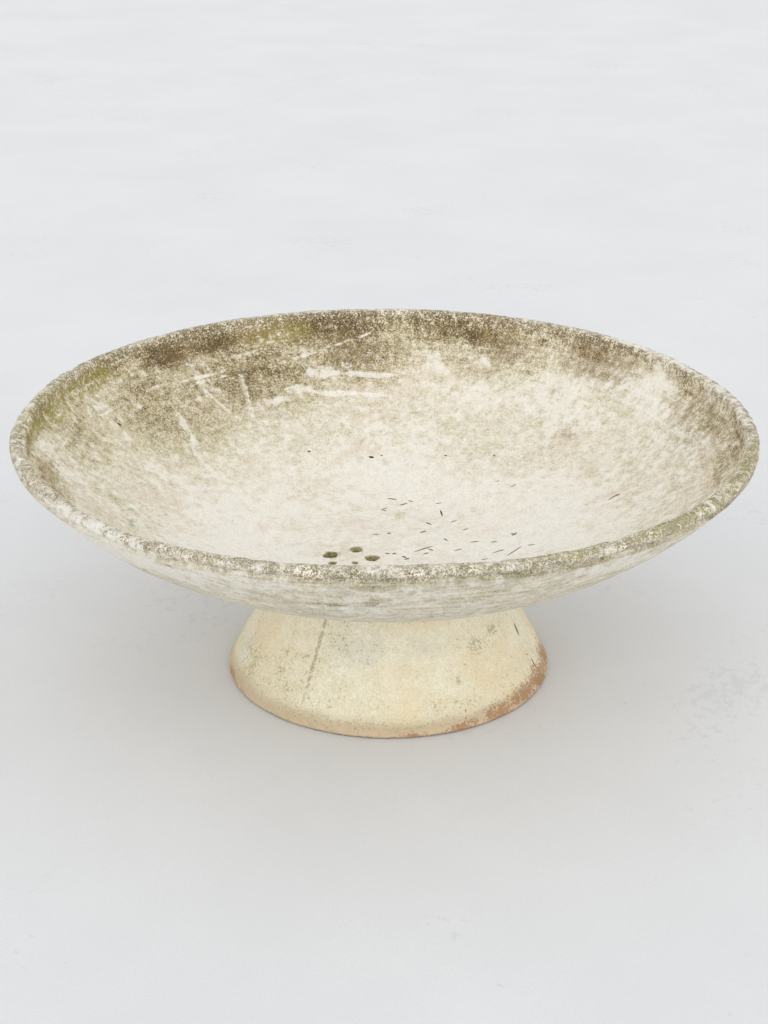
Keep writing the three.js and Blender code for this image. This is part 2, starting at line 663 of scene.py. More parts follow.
@dataclass(frozen=True)
class WeatheredCement:
    """The bowl's cement: chalky cream inside, soiled under the rim, streaked grey outside, with
    painted shade in the groove under the rolled rim.

    Attributes:
        soil_and_shade: the colour for each level of dirt and painted shade, from clean cement to
            soot.
        flake, crumb: crumbs of bare lime, large and small.
        blush, olive, moss, umber, grey, damp, verdigris: tints that lie over it in places.
        black: the darkest marks.
        bore: the colour of the drain holes' walls.
    """

    soil_and_shade: Stops = (
        (0.00, tone(246, 241, 230)),
        (0.20, tone(231, 223, 207)),
        (0.35, tone(213, 203, 177)),
        (0.50, tone(194, 182, 148)),
        (0.65, tone(172, 156, 118)),
        (0.80, tone(142, 124, 86)),
        (0.92, tone(114, 95, 60)),
        (1.00, tone(88, 71, 45)),
    )
    flake: Colour = tone(245, 241, 232)
    crumb: Colour = tone(228, 218, 188)
    blush: Colour = tone(222, 203, 184)
    olive: Colour = tone(198, 190, 152)
    moss: Colour = tone(152, 142, 64)
    umber: Colour = tone(134, 110, 76)
    grey: Colour = tone(152, 145, 126)
    damp: Colour = tone(182, 182, 164)
    verdigris: Colour = tone(132, 158, 138)
    black: Colour = tone(66, 58, 46)
    bore: Colour = tone(150, 134, 74)

    def material(
        self, skin: Skin, scratches: list[Line], debris: list[Line], copper: list[Line]
    ) -> bpy.types.Material:
        """The bowl's material, which reads the layers that the mesh carries.

        Args:
            skin: the bowl's surface.
            scratches: pale lines on the inside.
            debris: dark specks and dashes on the inside.
            copper: green stains on the inside.

        Returns:
            The material.
        """
        noises = (0.16, 4, 0.6), (0.045, 6, 0.65), (0.012, 3, 0.65), (0.0036, 2, 0.8)
        r = CementRecipe("weathered_cement", *noises)
        from_rim = r.read(Layer.FROM_RIM)
        on_rim = r.times(r.fade(from_rim, 0.034, 0.014), r.fade(from_rim, -0.034, -0.028))
        zones = Zones(from_rim, on_rim, r.fade(from_rim, 0.004, -0.004))

        level = self.soil_and_shade_level(r, zones)
        colour = self.tint(r, zones, r.ramp(level, self.soil_and_shade), level)
        colour = r.coat(colour, self.verdigris, r.lines(skin, Side.INSIDE, copper, 0.012))
        scratched = r.lines(skin, Side.INSIDE, scratches, 0.009)
        colour = r.coat(colour, self.flake, self.flakes(r, zones, scratched), 0.75)
        fine = r.grain(0.0036, 1, 0.5)
        colour = r.coat(colour, self.crumb, r.fade(fine, 0.60, 0.68), 0.42)
        colour = r.coat(colour, self.umber, r.fade(fine, 0.41, 0.33), 0.25)
        speckle = r.specks(0.0072, 0.0010, 0.10)
        dark = r.lines(skin, Side.INSIDE, debris, 0.002)
        colour = r.coat(colour, self.black, r.most(dark, r.times(speckle, 0.45)))
        lit = r.fade(r.total((r.crumb, 1.0), (r.grit, 1.0)), -0.15, 0.10)
        bore = r.coat(self.bore, self.olive, lit)
        colour = r.coat(colour, bore, r.fade(r.read(Layer.BORE), 0.2, 0.8))

        bumps = (r.grit, 0.0011), (r.crumb, 0.0020), (r.mottle, 0.0020), (speckle, -0.0005)
        height = r.total(*bumps, centre=0.0)
        return r.finish(colour, r.fade(r.grit, -0.6, 0.9), height)

    def soil_and_shade_level(self, r: CementRecipe, zones: Zones) -> Socket:
        """How soiled each place is, with the groove's painted shade: 0 where the cement is clean, up
        to 1 where it is black.
        """
        # Soiled cement is more broken up than clean cement.
        force = r.times(r.soil, 1.3, r.times(zones.on_rim, 1.7, 0.9))
        broken = r.total((r.mottle, 0.45), (r.crumb, 0.55), (r.grit, 1.8))
        drips = r.grain(0.0075, 4, 0.75, r.on_wall(zones.from_rim, 1.0, 0.30))
        bands = r.grain(0.009, 4, 0.6, r.on_wall(zones.from_rim, 0.10, 1.0))
        upper = r.times(r.fade(zones.from_rim, 0.24, 0.06), r.fade(zones.from_rim, 0.0, 0.02))
        run = r.most(upper, r.times(zones.on_rim, 0.5))
        streaked = r.times(r.total((drips, 1.0)), run)
        streaked = r.times(r.total((bands, 0.9)), r.most(upper, zones.outside), streaked)
        level = r.math("ADD", r.soil, r.times(broken, force, streaked))
        return r.math("ADD", r.total((r.cloud, 0.3)), level)

    def flakes(self, r: CementRecipe, zones: Zones, scratched: Socket) -> Socket:
        """Crumbs of bare lime, thick on clean cement, on chalky patches and along scratches.

        Args:
            r: the material's recipe.
            zones: where on the bowl each place is.
            scratched: 1 on a scratch.

        Returns:
            1 on a crumb and 0 off it.
        """
        density = r.times(r.soil, -0.42, 0.045)
        density = r.times(r.most(r.read(Layer.CHALK), scratched), 0.36, density)
        density = r.times(zones.on_rim, 0.05, density)
        density = r.math("ADD", r.total((r.cloud, 0.7)), density)
        crumbs = r.total((r.grain(0.021, 6, 0.72), 1.2), (r.mottle, 0.5), (r.grit, 1.1))
        return r.fade(r.math("ADD", crumbs, density), 0.0, 0.04)

    def tint(self, r: CementRecipe, zones: Zones, colour: Socket, level: Socket) -> Socket:
        """The soiled cement's colour with a blush, olive, moss, brown and greys over it.

        Args:
            r: the material's recipe.
            zones: where on the bowl each place is.
            colour: the colour so far.
            level: how soiled each place is.

        Returns:
            The colour.
        """
        hue = r.grain(0.10, 6, 0.65)
        blush = r.times(r.fade(hue, 0.50, 0.64), r.fade(level, 0.60, 0.35))
        colour = r.coat(colour, self.blush, blush, 0.42)
        olive = r.most(r.ragged(r.read(Layer.OCHRE), 0.5, 0.4), r.fade(hue, 0.47, 0.32))
        olive = r.times(olive, r.fade(level, 0.90, 0.60))
        colour = r.coat(colour, self.olive, olive, 0.35)
        tufts = r.grain(0.009, 4, 0.75, r.on_wall(zones.from_rim, 1.0, 0.35))
        tufts = r.total((tufts, 1.0), (r.crumb, 1.2), (r.grit, 0.8))
        moss = r.times(r.ragged(r.read(Layer.MOSS), 0.55, 0.35), r.fade(tufts, -0.14, 0.06))
        colour = r.coat(colour, self.moss, moss, 0.72)
        brown = r.times(r.fade(level, 0.6, 0.85), r.fade(hue, 0.46, 0.60))
        umber = r.most(brown, r.ragged(r.read(Layer.UMBER), 0.5, 0.35))
        colour = r.coat(colour, self.umber, umber, 0.35)
        damp = r.times(zones.outside, r.fade(r.mottle, 0.35, 0.60))
        colour = r.coat(colour, self.damp, damp, 0.3)
        grey = r.times(r.fade(r.crumb, 0.47, 0.60), zones.on_rim)
        return r.coat(colour, self.grey, grey, 0.3)


@dataclass
class Bowl:
    """The wide bowl, with its rolled rim and drain holes.

    The sizes are in metres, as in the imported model, and the angles in degrees.

    Attributes:
        rim_foot: how far below the rim's crest the inner wall runs into the rim.
        off_centre: how far the bowl stands to the right of the axis.
        drain_holes: the place and the radius of each.
        rim_around: vertices in a ring of the rim. The walls have half and a quarter as many.
        lower_steps, upper_steps, rim_steps, ease_steps: points along each part of the section.
        underside_rings, floor_rings: radius, steps up to it and how much coarser than the wall.
        uneven, rim_wear, rim_chips: how casting and wear have shaped the surface.
        rim_middle, groove_at: the depth of the rolled rim's middle, and of the groove.
        most_lift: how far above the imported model's rim the uneven rim may stand.
    """

    wall: float = 0.014
    standing_face_radius: float = 0.172
    wall_start_angle: float = 9.0
    shoulder_inset: float = 0.170
    shoulder_drop: float = 0.158
    wall_edge_inset: float = 0.003
    rim_width: float = 0.024
    rim_depth: float = 0.017
    groove_width: float = 0.0055
    groove_depth: float = 0.005
    rim_starts_at: float = -70.0
    rim_ends_at: float = 185.0
    rim_foot: float = 0.030
    off_centre: float = -0.00375
    drain_holes: tuple[tuple[float, float, float], ...] = (
        (-0.088, -0.032, 0.0115),
        (-0.046, -0.011, 0.0100),
        (-0.020, -0.046, 0.0105),
        (-0.085, -0.064, 0.0060),
        (-0.048, -0.064, 0.0050),
    )
    rim_around: int = 1088
    lower_steps: int = 27
    upper_steps: int = 31
    rim_steps: int = 22
    ease_steps: int = 9
    underside_rings: tuple[tuple[float, int, int], ...] = (
        (0.02, 1, 8), (0.05, 2, 4), (0.09, 2, 2), (standing_face_radius, 5, 1)
    )
    floor_rings: tuple[tuple[float, int, int], ...] = (
        (0.09, 9, 1), (0.05, 4, 2), (0.02, 3, 4), (0.01, 1, 8)
    )
    uneven: Relief = Relief(0.11, 0.0010)
    rim_wear: tuple[Relief, ...] = (Relief(0.028, 0.0011), Relief(0.0085, 0.0007))
    rim_chips: Chips = Chips(0.0115, 0.0018, 0.45)
    rim_middle: float = -0.004
    groove_at: float = -0.034
    most_lift: float = 0.009

    inside_marks: ClassVar[Marks] = {
        Layer.SOIL: placed(
            # the olive wall at the upper left, fading out towards the right
            (-104, 80, 110, 60, 0.62), (-77, 90, 170, 110, 0.57), (-52, 130, 190, 140, 0.67),
            (-28, 115, 180, 110, 0.77), (-7, 92, 130, 85, 0.78), (22, 76, 150, 80, 0.58),
            (45, 50, 150, 55, 0.55), (75, 50, 150, 60, 0.56), (98, 60, 140, 65, 0.56),
            # the band under the far rim, and over it
            (-62, 18, 180, 45, 0.86), (-35, 25, 200, 55, 0.92), (-10, 28, 180, 66, 0.97),
            (15, 28, 180, 58, 0.92), (42, 18, 170, 45, 0.78), (66, 12, 120, 35, 0.72),
            # (-96, 30, ...) darkens the crease where the rim runs into the inner wall at the left:
            # soil there, with painted shade in the crease
            (92, 30, 160, 22, 0.68), (-96, 30, 200, 16, 0.8), (-80, 12, 200, 34, 0.84),
            (98, 0, 260, 18, 0.62), (-135, 16, 260, 5, 0.9),
            # dark patches
            (-85, 22, 110, 30, 0.92), (-20, 22, 120, 30, 1.02), (-45, 40, 70, 30, 1.3),
            (-34, 40, 85, 30, 1.2), (-48, 54, 20, 12, 0.9), (-13, 36, 20, 14, 1.1),
            (-24, 30, 80, 30, 0.95), (-7, 97, 45, 28, 0.7), (17, 46, 36, 26, 1.3),
            (22, 57, 28, 16, 0.9), (31, 38, 14, 8, 0.9), (42, 45, 48, 20, 0.85),
            (68, 43, 27, 16, 0.8), (81, 50, 62, 35, 0.68), (94, 51, 58, 50, 0.66),
            (79, 109, 14, 10, 0.6), (-77, 77, 24, 55, 0.62), (-100, 85, 80, 30, 0.62),
            (-86, 119, 24, 37, 0.55), (-94, 200, 19, 30, 0.5),
            # faint patches lower down
            (49, 217, 26, 18, 0.4), (69, 163, 40, 30, 0.4), (30, 107, 55, 25, 0.5),
            (-62, 343, 12, 4, 0.6), (10, 528, 10, 18, 0.34),
        ),
        Layer.UMBER: placed(
            (-40, 50, 60, 30, 0.8), (-8, 90, 60, 35), (24, 70, 60, 30, 0.9), (45, 50, 80, 40),
            (80, 70, 120, 60, 0.8), (49, 217, 24, 16, 0.7), (-69.5, 353, 6, 6), (-66.5, 127, 6, 6),
        ),
        Layer.OCHRE: placed(
            (-96, 555, 30, 22), (-110, 580, 30, 30), (10, 528, 14, 20), (-31, 420, 70, 60, 0.6),
            (-60, 250, 120, 60, 0.6), (-62, 120, 260, 90, 0.9),
        ),
        Layer.MOSS: placed(
            (-78, 30, 70, 30, 1.5), (-66, 30, 60, 24, 1.2), (-60, 42, 25, 15, 0.8),
            (-92, 20, 60, 26, 1.3), (-22, 36, 70, 26, 0.9), (-19, 30, 10, 9), (19, 40, 9, 9),
            (-100, 85, 70, 20, 0.5),
        ),
        Layer.CHALK: placed(
            (-13, 131, 32, 16, 0.8), (-20, 166, 23, 11, 0.9), (-25, 182, 30, 8, 0.9),
            (11, 116, 21, 13, 0.45), (20, 96, 30, 10, 0.55), (42, 121, 16, 11, 0.7),
            (58, 64, 70, 32, 0.5), (60, 95, 50, 25, 0.6), (55, 142, 10, 9, 0.9), (-58, 116, 11, 9),
            (20, 180, 110, 30, 0.3), (45, 175, 140, 36, 0.28), (63, 217, 180, 50, 0.35),
            (6, 397, 60, 45, 0.35), (90, 350, 180, 120, 0.55), (-80, 140, 90, 40, 0.3),
            (-92, 380, 120, 100, 0.35), (-15, 2, 260, 5, 0.75), (58, 2, 260, 6, 0.7),
            (-100, -4, 200, 6, 0.35),
        ),
    }
    outside_marks: ClassVar[Marks] = {
        Layer.CHALK: placed(
            (-40, 0, 240, 10, 0.25), (0, 2, 120, 8, 0.35), (-50, 60, 260, 40, 1.2),
            (35, 62, 120, 20, 0.35), (6, 75, 60, 20, 0.4),
        ),
        Layer.SOIL: placed(
            (5, 80, 260, 80, 0.4), (55, 50, 300, 70, 0.48), (-30, 46, 48, 14, 0.6),
            (-24, 72, 68, 26, 0.46), (-1, 50, 40, 14, 0.6), (-1, 105, 24, 26, 0.65),
            (6, 101, 10, 10, 0.6), (-8, 114, 41, 14, 0.6), (10, 8, 9, 8, 0.9), (15, 8, 22, 8, 0.85),
            (37, 8, 15, 6, 0.8), (22, 10, 14, 7, 0.9), (-35, 4, 30, 6, 0.8),
            (-78, 0, 160, 12, 0.76), (-20, 2, 12, 6, 0.8), (0, 12, 300, 9, 0.56),
            (-50, 14, 220, 7, 0.52), (45, 6, 200, 16, 0.8), (72, 2, 160, 16, 0.8),
        ),
        Layer.MOSS: placed(
            (26, 5, 30, 9), (42, 6, 60, 11, 1.3), (56, 8, 80, 12, 1.3), (72, 4, 90, 11, 1.2),
        ),
    }
    scratches: ClassVar[list[Line]] = drawn(
        (-69.7, 97, -53.4, 92, 5, 0.45), (-53.4, 92, -45.3, 99, 7, 0.55),
        (-45.3, 99, -32.5, 98, 8, 0.6), (-42.6, 111, -33.7, 109, 7, 0.5),
        (-31.5, 73, -23.3, 67, 5, 0.55), (-23.4, 104, -13.3, 84, 8, 0.6),
        (-13.3, 84, -1.7, 44, 6, 0.62), (-50.4, 133, -52.1, 215, 14, 0.66),
        (-52.1, 215, -56.1, 257, 18, 0.56), (-56.1, 257, -57.2, 300, 14, 0.4),
        (-31.6, 113, -32.2, 164, 13, 0.66), (-32.2, 164, -33.8, 216, 13, 0.55),
        (-40.7, 134, -38, 195, 7, 0.4), (-16.3, 129, -10, 136, 18, 0.85),
        (-10, 136, 1.6, 143, 14, 0.72), (-23, 160, -18.8, 156, 9, 0.8),
        (-18.8, 156, -15.9, 178, 9, 0.8), (-15.9, 178, -6.5, 183, 12, 0.8),
        (-6.5, 183, 1.7, 191, 9, 0.66), (-28, 178, -20.7, 182, 9, 0.6),
    )
    debris: ClassVar[list[Line]] = drawn(
        (110, 613, 87, 585, 3), (98, 485, 95, 467, 2.5), (103, 459, 95, 437, 2.8),
        (95, 425, 95.5, 415, 3), (82, 275, 81.6, 256, 3), (80, 448, 82, 442, 3),
        (1.5, 468, 6, 470, 3), (-2, 506, 0.7, 513, 3), (-1, 503, 1.2, 500, 2.5),
        (-19, 609, -11, 612, 3), (6, 608, 9, 606, 4), (8.7, 488, 12, 480, 3),
        (12.4, 471, 14.6, 473, 2.5), (27, 467, 29, 461, 2.5), (32.4, 484, 36.8, 499, 3),
        (35, 540, 39.8, 542, 3.5), (45.3, 578, 46.2, 570, 4), (49, 367, 49.5, 359, 4, 0.5),
        (42.2, 369, 42.8, 365, 3.5, 0.5), (82.3, 448, 80.7, 439, 3), (96.1, 477, 95.9, 467, 2.5),
        (47.4, 510, 47.6, 498, 2.5), (62.3, 515, 61.3, 503, 2.5), (71.3, 559, 75.7, 557, 3),
        (84.4, 485, 84.4, 477, 3), (96.3, 548, 92.5, 537, 2.5), (82, 519, 81.1, 506, 3),
        (105.9, 498, 104.8, 490, 3), (173, 640, 164, 638, 4), (152, 635, 144, 636, 4),
        (140, 618, 139, 612, 4), (144, 607, 138, 606, 4), (111.4, 595, 107.5, 590, 3.5),
        (97, 591, 99, 584, 3.5), (-24, 316, -23.6, 317, 4), (-4.9, 346, -4.2, 347, 6),
        (-1.3, 342, -1, 342, 3), (19.3, 331, 19.8, 332, 3), (34, 308, 34.4, 309, 3),
        (-66.5, 127, -66.3, 130, 5), (81.6, 264, 82.1, 254, 3),
    )
    copper: ClassVar[list[Line]] = drawn(
        (-96.2, 112, -96.8, 118, 10, 0.6), (-95.6, 232, -95.2, 238, 8, 0.6),
        (-102, 233, -105.5, 233, 10, 0.6),
    )
    bulges: ClassVar[list[Bulge]] = [
        Bulge(4, 14, lift=0.005),
        Bulge(-38, 12, lift=-0.004),
        Bulge(-96, 10, push=-0.004),
        Bulge(112, 9, push=-0.004),
    ]

    def __post_init__(self) -> None:
        """Takes the bowl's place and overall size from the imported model."""
        low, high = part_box("bowl")
        self.base, self.top, self.radius = low.z, high.z, high.x

    def arc(
        self, start: np.ndarray, angle: float, end: np.ndarray, steps: int
    ) -> list[tuple[float, float, float]]:
        """A circular arc.

        Args:
            start: radius and height of its first point.
            angle: its direction there, in radians above level.
            end: its last point.
            steps: how many steps it has.

        Returns:
            Radius, height and direction at each point.
        """
        chord = end - start
        length = math.hypot(*chord)
        turn = 2 * (math.atan2(chord[1], chord[0]) - angle)
        points = []
        for step in range(steps + 1):
            share = step / steps
            reach = length * math.sin(turn * share / 2) / math.sin(turn / 2)
            heading = angle + turn * share / 2
            radius = start[0] + reach * math.cos(heading)
            height = start[1] + reach * math.sin(heading)
            points.append((radius, height, angle + turn * share))
        return points

    def outline(self) -> tuple[Section, float]:
        """The bowl's section from the axis, out underneath, over the rim and back inside.

        Returns:
            The section, and the length along it at the rim's crest.
        """
        fine, medium, coarse = self.rim_around, self.rim_around // 2, self.rim_around // 4
        face = np.array([self.standing_face_radius, self.base])
        shoulder = np.array([self.radius - self.shoulder_inset, self.top - self.shoulder_drop])
        edge = np.array(
            [self.radius - self.wall_edge_inset, self.top - self.rim_depth - self.groove_width]
        )
        lean = math.radians(self.wall_start_angle)
        lower = self.arc(face, lean, shoulder, self.lower_steps)
        upper = self.arc(shoulder, lower[-1][2], edge, self.upper_steps)

        section = Section()
        section.add(0.0, self.base, 1)
        for radius, steps, coarser in self.underside_rings:
            section.line(radius, self.base, steps, coarse // coarser)
        for rows, around in ((lower[1:], coarse), (upper[1:-1], medium)):
            for radius, height, _ in rows:
                section.add(radius, height, around)
        section.add(edge[0], edge[1], fine)
        for inward, upward in ((0.6, 0.1), (1.0, 0.5)):
            across, up = self.groove_depth * inward, self.groove_width * upward
            section.line(edge[0] - across, edge[1] + up, 2, fine)
        self.roll_rim(section)

        # The inside follows the outside at the wall's thickness, up to where the rim runs into it.
        for rows, around in ((upper, medium), (lower[1:-1], coarse)):
            for radius, height, angle in reversed(rows):
                inner = height + self.wall * math.cos(angle)
                if inner > self.top - self.rim_foot:
                    continue
                inner_radius = radius - self.wall * math.sin(angle)
                if section.around[-1] == fine:
                    self.ease(section, np.array([inner_radius, inner]), angle)
                section.add(inner_radius, inner, around)
        floor = self.base + self.wall
        floor_radius = self.standing_face_radius - self.wall * math.tan(lean / 2)
        section.add(floor_radius, floor, coarse)
        for radius, steps, coarser in self.floor_rings:
            section.line(radius, floor, steps, coarse // coarser)
        section.add(0.0, floor, 1)
        return section, section.travel()[int(np.argmax(section.height))]

    def ease(self, section: Section, end: np.ndarray, angle: float) -> None:
        """Runs the rolled rim's inner side smoothly into the wall.

        Args:
            section: the section, drawn as far as the rim's inner side, where it heads down.
            end: the point on the inner wall where it ends.
            angle: the wall's lean there, in radians above level.
        """
        start = np.array([section.radius[-1], section.height[-1]])
        length = math.hypot(*(end - start))
        leaving = np.array([0.0, -length])
        arriving = -length * np.array([math.cos(angle), math.sin(angle)])
        for step in range(1, self.ease_steps):
            t = step / self.ease_steps
            point = (
                (2 * t**3 - 3 * t**2 + 1) * start
                + (t**3 - 2 * t**2 + t) * leaving
                + (3 * t**2 - 2 * t**3) * end
                + (t**3 - t**2) * arriving
            )
            section.add(*point, self.rim_around)

    def roll_rim(self, section: Section) -> None:
        """Adds the rolled rim's oval to the section, drawn as far as the groove."""
        across, down = self.rim_width / 2, self.rim_depth / 2
        start, end = math.radians(self.rim_starts_at), math.radians(self.rim_ends_at)
        radius = self.radius - across + across * math.cos(start)
        section.add(radius, self.top - down + down * math.sin(start), self.rim_around)
        section.sweep(across, down, (start, end), self.rim_steps, self.rim_around)

    def clean_level(self, skin: Skin) -> np.ndarray:
        """How soiled each vertex is where no mark is: least on the floor and most on the rim, and
        darker in the groove under the rim, partly as dirt and partly as painted shade.
        """
        rim = smooth_step(np.abs(skin.depth - self.rim_middle), 0.036, 0.020)
        # painted shade: the groove under the rolled rim is darkened, partly for dirt and partly for
        # the shade that falls in it
        groove = smooth_step(np.abs(skin.depth - self.groove_at), 0.010, 0.003)
        outside = smooth_step(skin.depth, 0.0, -0.02)
        floor = smooth_step(skin.depth, 0.22, 0.46)
        clean = 0.31 - 0.18 * floor + 0.02 * outside + 0.28 * rim
        return np.maximum(clean, 0.50 * groove)

    def weather(self, skin: Skin) -> None:
        """Moves the surface by what casting and wear have done to it."""
        place = skin.place
        rim = smooth_step(np.abs(skin.depth - self.rim_middle), 0.045, 0.020)
        near_rim = smooth_step(np.abs(skin.depth), 0.22, 0.0)
        offset = self.uneven.at(place) + worn(place, rim, self.rim_wear, self.rim_chips)
        flat = (place[:, 2] < self.base + 0.001) & (np.hypot(place[:, 0], place[:, 1]) < 0.18)
        offset[flat] = 0.0
        moved = place + skin.normal * offset[:, None]
        front = np.degrees(math.pi - skin.compass)
        ahead = np.stack([np.sin(skin.compass), np.cos(skin.compass)], 1)
        for bulge in self.bulges:
            away = (front - bulge.bearing + 180) % 360 - 180
            share = near_rim * np.exp(-((away / bulge.spread) ** 2))
            moved[:, 2] += share * bulge.lift
            moved[:, :2] += ahead * (share * bulge.push)[:, None]
        moved[:, 2] = np.minimum(moved[:, 2], self.top + self.most_lift)
        skin.place = moved

    def drill_bits(self) -> bpy.types.Object:
        """The space that the drill leaves in each hole, with a chipped and flared mouth."""
        sides, levels, overrun = 28, 7, 0.004
        place, faces = [], []
        for number, (x, y, radius) in enumerate(self.drain_holes):
            rings = []
            for level in range(levels):
                share = level / (levels - 1)
                height = self.base - overrun + share * (self.wall + 2 * overrun)
                flare = 1 + 0.22 * max(0.0, share - 0.62) / 0.38 + 0.12 * max(0.0, 0.3 - share) / 0.3
                rings.append(range(len(place), len(place) + sides))
                for side in range(sides):
                    turn = 2 * math.pi * side / sides
                    ahead = Vector((math.cos(turn), math.sin(turn), 0))
                    probe = ahead * 1.3 + Vector((0, 0, number * 5 + share))
                    reach = radius * flare * (1 + 0.32 * noise.noise(probe))
                    place.append((x + reach * ahead.x, y + reach * ahead.y, height))
            faces += [face for pair in zip(rings, rings[1:]) for face in join_rings(*pair)]
            faces += [tuple(rings[0]), tuple(rings[-1])]
        bits = new_piece("drill", np.array(place), faces, {})
        bits.data.shade_flat()
        return bits

    def drill(self, piece: bpy.types.Object) -> None:
        """Cuts the drain holes."""
        bits = self.drill_bits()
        cut = piece.modifiers.new("drain_holes", "BOOLEAN")
        cut.operation = "DIFFERENCE"
        cut.solver = "EXACT"
        cut.object = bits
        bpy.context.view_layer.update()
        whole = piece.evaluated_get(bpy.context.evaluated_depsgraph_get())
        drilled = bpy.data.meshes.new_from_object(whole)
        piece.modifiers.clear()
        piece.data = drilled
        bpy.data.objects.remove(bits)
        self.mark_bores(drilled)

    def mark_bores(self, mesh: bpy.types.Mesh) -> None:
        """Says at each vertex round the drain holes which face it is on, or that it is in one."""
        depth = mesh.attributes[Layer.FROM_RIM.value].data
        bore = mesh.attributes[Layer.BORE.value].data
        far_from_rim, reach, mouth = 0.6, 1.6, 1.45
        for vertex in mesh.vertices:
            x, y, z = vertex.co
            for hole_x, hole_y, radius in self.drain_holes:
                away = math.hypot(x - hole_x, y - hole_y)
                if away < reach * radius:
                    upper = z > self.base + self.wall * 0.5
                    depth[vertex.index].value = far_from_rim if upper else -far_from_rim
                    edge = min(abs(z - self.base), abs(z - self.base - self.wall))
                    in_mouth = 0.5 * (away < mouth * radius)
                    bore[vertex.index].value = 1.0 if edge > 0.0015 else in_mouth

    def build(self) -> bpy.types.Object:
        """Makes the bowl, dresses it and seats it on the pedestal."""
        section, crest = self.outline()
        skin = Skin(section, crest, flow=1, closed=False)
        material = WeatheredCement().material(skin, self.scratches, self.debris, self.copper)
        layers = skin.layers({Side.INSIDE: self.inside_marks, Side.OUTSIDE: self.outside_marks})
        # the soil layer takes the painted shade in the groove under the rim from clean_level
        layers[Layer.SOIL] = np.maximum(layers[Layer.SOIL], self.clean_level(skin))
        layers[Layer.FROM_RIM] = skin.depth
        self.weather(skin)
        piece = new_piece("bowl_shell", skin.place, skin.faces, layers)
        self.drill(piece)
        piece.data.set_sharp_from_angle(angle=CRISP)
        piece.data.materials.clear()
        piece.data.materials.append(material)
        piece.location.x = self.off_centre
        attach(piece, "bowl")
        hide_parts("bowl")
        return piece


@dataclass(frozen=True)
class CreamCement:
    """The pedestal's cement: a cream coat, pitted and mottled, worn to a pinkish tan at the foot,
    and darkened towards the foot by painted shade.

    Attributes:
        soil_and_shade: the colour for each level of dirt and painted shade, from bare lime to a dark
            stain.
        ochre, grey, lichen, foot, rust: tints that lie over it in places.
        dark: the colour of slits and of the foot's lowest edge.
    """

    soil_and_shade: Stops = (
        (0.00, tone(248, 244, 228)),
        (0.25, tone(236, 228, 202)),
        (0.50, tone(220, 208, 176)),
        (0.75, tone(188, 176, 142)),
        (1.00, tone(128, 116, 88)),
    )
    ochre: Colour = tone(234, 212, 168)
    grey: Colour = tone(222, 221, 208)
    lichen: Colour = tone(172, 164, 130)
    foot: Colour = tone(200, 175, 142)
    rust: Colour = tone(170, 118, 78)
    dark: Colour = tone(92, 84, 60)

    def material(self, skin: Skin, seam: list[Line], slits: list[Line]) -> bpy.types.Material:
        """The pedestal's material, which reads the layers that the mesh carries.

        Args:
            skin: the pedestal's surface.
            seam: the line that the mould's joint has left.
            slits: short cuts in the coat.

        Returns:
            The material.
        """
        noises = (0.13, 4, 0.55), (0.034, 6, 0.64), (0.009, 3, 0.65), (0.0034, 2, 0.75)
        r = CementRecipe("cream_cement", *noises)
        up = r.read(Layer.UP_WALL)
        broken = r.total((r.mottle, 0.6), (r.crumb, 0.6), (r.grit, 1.15))

        pitted = r.times(r.specks(0.0062, 0.0013, 0.7), r.ragged(r.soil, 0.4, 0.2))
        pitted = r.most(pitted, r.specks(0.014, 0.0011, 0.06))
        gaps = r.fade(r.total((r.crumb, 1.0), (r.grit, 1.0)), -0.10, 0.06)
        joint = r.times(r.lines(skin, Side.OUTSIDE, seam, 0.003), gaps)
        cuts = r.lines(skin, Side.OUTSIDE, slits, 0.001)

        level = r.times(r.soil, 0.08, r.times(broken, 0.8, 0.22))
        # painted shade: the cement is darkened towards the foot, over its lowest 11 cm
        level = r.times(r.fade(up, 0.11, 0.02), 0.14, level)
        level = r.times(r.read(Layer.CHALK), -0.25, level)
        colour = r.ramp(r.times(pitted, 0.30, level), self.soil_and_shade)
        ochre = r.most(r.read(Layer.OCHRE), r.fade(r.cloud, 0.5, 0.68))
        colour = r.coat(colour, self.ochre, ochre, 0.45)
        colour = r.coat(colour, self.grey, r.ragged(r.read(Layer.GREY), 0.5, 0.35), 0.45)
        lichen = r.total((r.mottle, 0.7), (r.crumb, 0.8), (r.grit, 1.3), (r.cloud, 0.7))
        lichen = r.math("ADD", lichen, r.times(r.soil, 0.24, -0.36))
        lichen = r.most(r.fade(lichen, 0.0, 0.08), joint)
        colour = r.coat(colour, self.lichen, lichen, 0.62)

        foot = r.times(r.fade(r.times(broken, 0.060, up), 0.032, 0.014), 0.75)
        colour = r.coat(colour, self.foot, foot)
        rust = r.times(broken, 0.9, r.times(r.read(Layer.RUST), 0.42, -0.21))
        rust = r.fade(rust, 0.0, 0.12)
        colour = r.coat(colour, self.rust, rust, 0.72)
        lowest = r.fade(r.times(broken, 0.012, up), 0.0065, 0.0015)
        lowest = r.times(lowest, r.times(rust, -0.5, 0.8))
        colour = r.coat(colour, self.dark, lowest)
        colour = r.coat(colour, self.dark, cuts)

        bumps = (r.grit, 0.0008), (r.crumb, 0.0012), (r.mottle, 0.0014)
        hollows = ((hollow, -0.0008) for hollow in (pitted, joint, cuts, foot))
        height = r.total(*bumps, *hollows, centre=0.0)
        return r.finish(colour, r.fade(r.grit, -0.8, 0.9), height)


